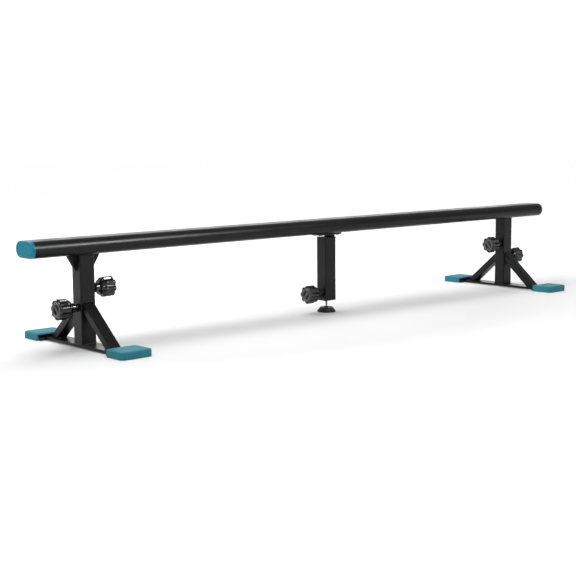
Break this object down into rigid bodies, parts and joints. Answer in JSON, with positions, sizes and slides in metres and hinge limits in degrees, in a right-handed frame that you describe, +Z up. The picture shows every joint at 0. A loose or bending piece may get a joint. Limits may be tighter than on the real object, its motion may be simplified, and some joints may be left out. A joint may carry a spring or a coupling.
{
  "type": "balance beam",
  "caption": "Low flat-oval balance beam on height-adjustable stands with braced, rubber-shod bases and a screw-footed middle support.",
  "frame": {"origin": "on the floor under the middle of the beam", "axes": "+X along the beam, +Y across it to the rear, +Z up"},
  "size_m": [2.4, 0.54, 0.33],
  "materials": {
    "black_powder_coat": "satin black powder coat on steel",
    "teal_cap_plastic": "smooth moulded teal plastic",
    "teal_rubber": "smooth teal rubber",
    "black_knob_plastic": "polished black plastic",
    "black_matte_plastic": "matte black plastic",
    "zinc_steel": "bright zinc-plated steel"
  },
  "bodies": {
    "beam": {"beam_tube": "black_powder_coat", "left_end_cap": "teal_cap_plastic", "right_end_cap": "teal_cap_plastic", "left_upper_sleeve": "black_powder_coat", "left_upper_boss": "black_powder_coat", "left_upper_bushing": "black_matte_plastic", "right_upper_sleeve": "black_powder_coat", "right_upper_boss": "black_powder_coat", "right_upper_bushing": "black_matte_plastic", "left_gussets": "black_powder_coat", "centre_saddle_plate": "black_powder_coat", "centre_saddle_bolts": "zinc_steel", "centre_leg_bracket": "black_powder_coat", "centre_leg_tube": "black_powder_coat", "centre_leg_boss": "black_powder_coat", "centre_leg_bushing": "black_matte_plastic"},
    "left_inner": {"left_inner_tube": "zinc_steel", "left_inner_glides": "black_matte_plastic"},
    "left_base": {"left_post": "black_powder_coat", "left_post_bushing": "black_matte_plastic", "left_lower_boss": "black_powder_coat", "left_base_bar": "black_powder_coat", "left_front_brace": "black_powder_coat", "left_rear_brace": "black_powder_coat", "left_foot_plates": "black_powder_coat", "left_front_shoe": "teal_rubber", "left_rear_shoe": "teal_rubber"},
    "right_inner": {"right_inner_tube": "zinc_steel", "right_inner_glides": "black_matte_plastic"},
    "right_base": {"right_post": "black_powder_coat", "right_post_bushing": "black_matte_plastic", "right_lower_boss": "black_powder_coat", "right_base_bar": "black_powder_coat", "right_front_brace": "black_powder_coat", "right_rear_brace": "black_powder_coat", "right_foot_plates": "black_powder_coat", "right_front_shoe": "teal_rubber", "right_rear_shoe": "teal_rubber"},
    "left_upper_pad": {"left_upper_pressure_pad": "zinc_steel"},
    "left_upper_hand_screw": {"left_upper_clamp_screw": "zinc_steel", "left_upper_knob": "black_knob_plastic"},
    "left_lower_pad": {"left_lower_pressure_pad": "zinc_steel"},
    "left_lower_hand_screw": {"left_lower_clamp_screw": "zinc_steel", "left_lower_knob": "black_knob_plastic"},
    "right_upper_pad": {"right_upper_pressure_pad": "zinc_steel"},
    "right_upper_hand_screw": {"right_upper_clamp_screw": "zinc_steel", "right_upper_knob": "black_knob_plastic"},
    "right_lower_pad": {"right_lower_pressure_pad": "zinc_steel"},
    "right_lower_hand_screw": {"right_lower_clamp_screw": "zinc_steel", "right_lower_knob": "black_knob_plastic"},
    "centre_leg": {"centre_inner_tube": "zinc_steel", "centre_inner_glide": "black_matte_plastic", "centre_foot_plug": "black_matte_plastic"},
    "centre_pad": {"centre_pressure_pad": "zinc_steel"},
    "centre_hand_screw": {"centre_clamp_screw": "zinc_steel", "centre_knob": "black_knob_plastic"},
    "centre_foot": {"centre_levelling_foot": "black_matte_plastic"},
    "centre_foot_stud": {"centre_foot_screw": "zinc_steel"}
  },
  "joints": [
    {"name": "left_lower_telescope", "type": "slide", "parent": "left_base", "child": "left_inner", "axis": [0, 0, 1], "range_m": [0, 0.06]},
    {"name": "left_upper_telescope", "type": "slide", "parent": "left_inner", "child": "beam", "axis": [0, 0, 1], "range_m": [0, 0.06]},
    {"name": "right_upper_telescope", "type": "slide", "parent": "beam", "child": "right_inner", "axis": [0, 0, -1], "range_m": [0, 0.06]},
    {"name": "right_lower_telescope", "type": "slide", "parent": "right_inner", "child": "right_base", "axis": [0, 0, -1], "range_m": [0, 0.06]},
    {"name": "left_upper_clamp_advance", "type": "slide", "parent": "beam", "child": "left_upper_pad", "axis": [1, 0, 0], "range_m": [0, 0.0061]},
    {"name": "left_upper_clamp_turn", "type": "hinge", "parent": "left_upper_pad", "child": "left_upper_hand_screw", "pos_m": [-0.9795, 0, 0.1748], "axis": [1, 0, 0], "range_deg": [0, 1440]},
    {"name": "left_lower_clamp_advance", "type": "slide", "parent": "left_base", "child": "left_lower_pad", "axis": [-1, 0, 0], "range_m": [0, 0.0061]},
    {"name": "left_lower_clamp_turn", "type": "hinge", "parent": "left_lower_pad", "child": "left_lower_hand_screw", "pos_m": [-1.0305, 0, 0.1208], "axis": [-1, 0, 0], "range_deg": [0, 1440]},
    {"name": "right_upper_clamp_advance", "type": "slide", "parent": "beam", "child": "right_upper_pad", "axis": [-1, 0, 0], "range_m": [0, 0.0061]},
    {"name": "right_upper_clamp_turn", "type": "hinge", "parent": "right_upper_pad", "child": "right_upper_hand_screw", "pos_m": [0.9795, 0, 0.1748], "axis": [-1, 0, 0], "range_deg": [0, 1440]},
    {"name": "right_lower_clamp_advance", "type": "slide", "parent": "right_base", "child": "right_lower_pad", "axis": [1, 0, 0], "range_m": [0, 0.0061]},
    {"name": "right_lower_clamp_turn", "type": "hinge", "parent": "right_lower_pad", "child": "right_lower_hand_screw", "pos_m": [1.0305, 0, 0.1208], "axis": [1, 0, 0], "range_deg": [0, 1440]},
    {"name": "centre_leg_telescope", "type": "slide", "parent": "beam", "child": "centre_leg", "axis": [0, 0, -1], "range_m": [-0.006, 0.105]},
    {"name": "centre_clamp_advance", "type": "slide", "parent": "beam", "child": "centre_pad", "axis": [-1, 0, 0], "range_m": [0, 0.0061]},
    {"name": "centre_clamp_turn", "type": "hinge", "parent": "centre_pad", "child": "centre_hand_screw", "pos_m": [-0.0255, 0, 0.0685], "axis": [-1, 0, 0], "range_deg": [0, 1440]},
    {"name": "centre_foot_advance", "type": "slide", "parent": "centre_leg", "child": "centre_foot", "axis": [0, 0, -1], "range_m": [-0.005, 0.015]},
    {"name": "centre_foot_turn", "type": "hinge", "parent": "centre_foot", "child": "centre_foot_stud", "pos_m": [0, 0, 0.05], "axis": [0, 0, -1], "range_deg": [-1450, 4330]}
  ],
  "couplings": [
    {"joint": "left_upper_clamp_advance", "follows": "left_upper_clamp_turn", "m_per_rad": 0.00023873},
    {"joint": "left_lower_clamp_advance", "follows": "left_lower_clamp_turn", "m_per_rad": 0.00023873},
    {"joint": "right_upper_clamp_advance", "follows": "right_upper_clamp_turn", "m_per_rad": 0.00023873},
    {"joint": "right_lower_clamp_advance", "follows": "right_lower_clamp_turn", "m_per_rad": 0.00023873},
    {"joint": "centre_clamp_advance", "follows": "centre_clamp_turn", "m_per_rad": 0.00023873},
    {"joint": "centre_foot_turn", "follows": "centre_foot_advance", "rad_per_m": 5026.5}
  ]
}
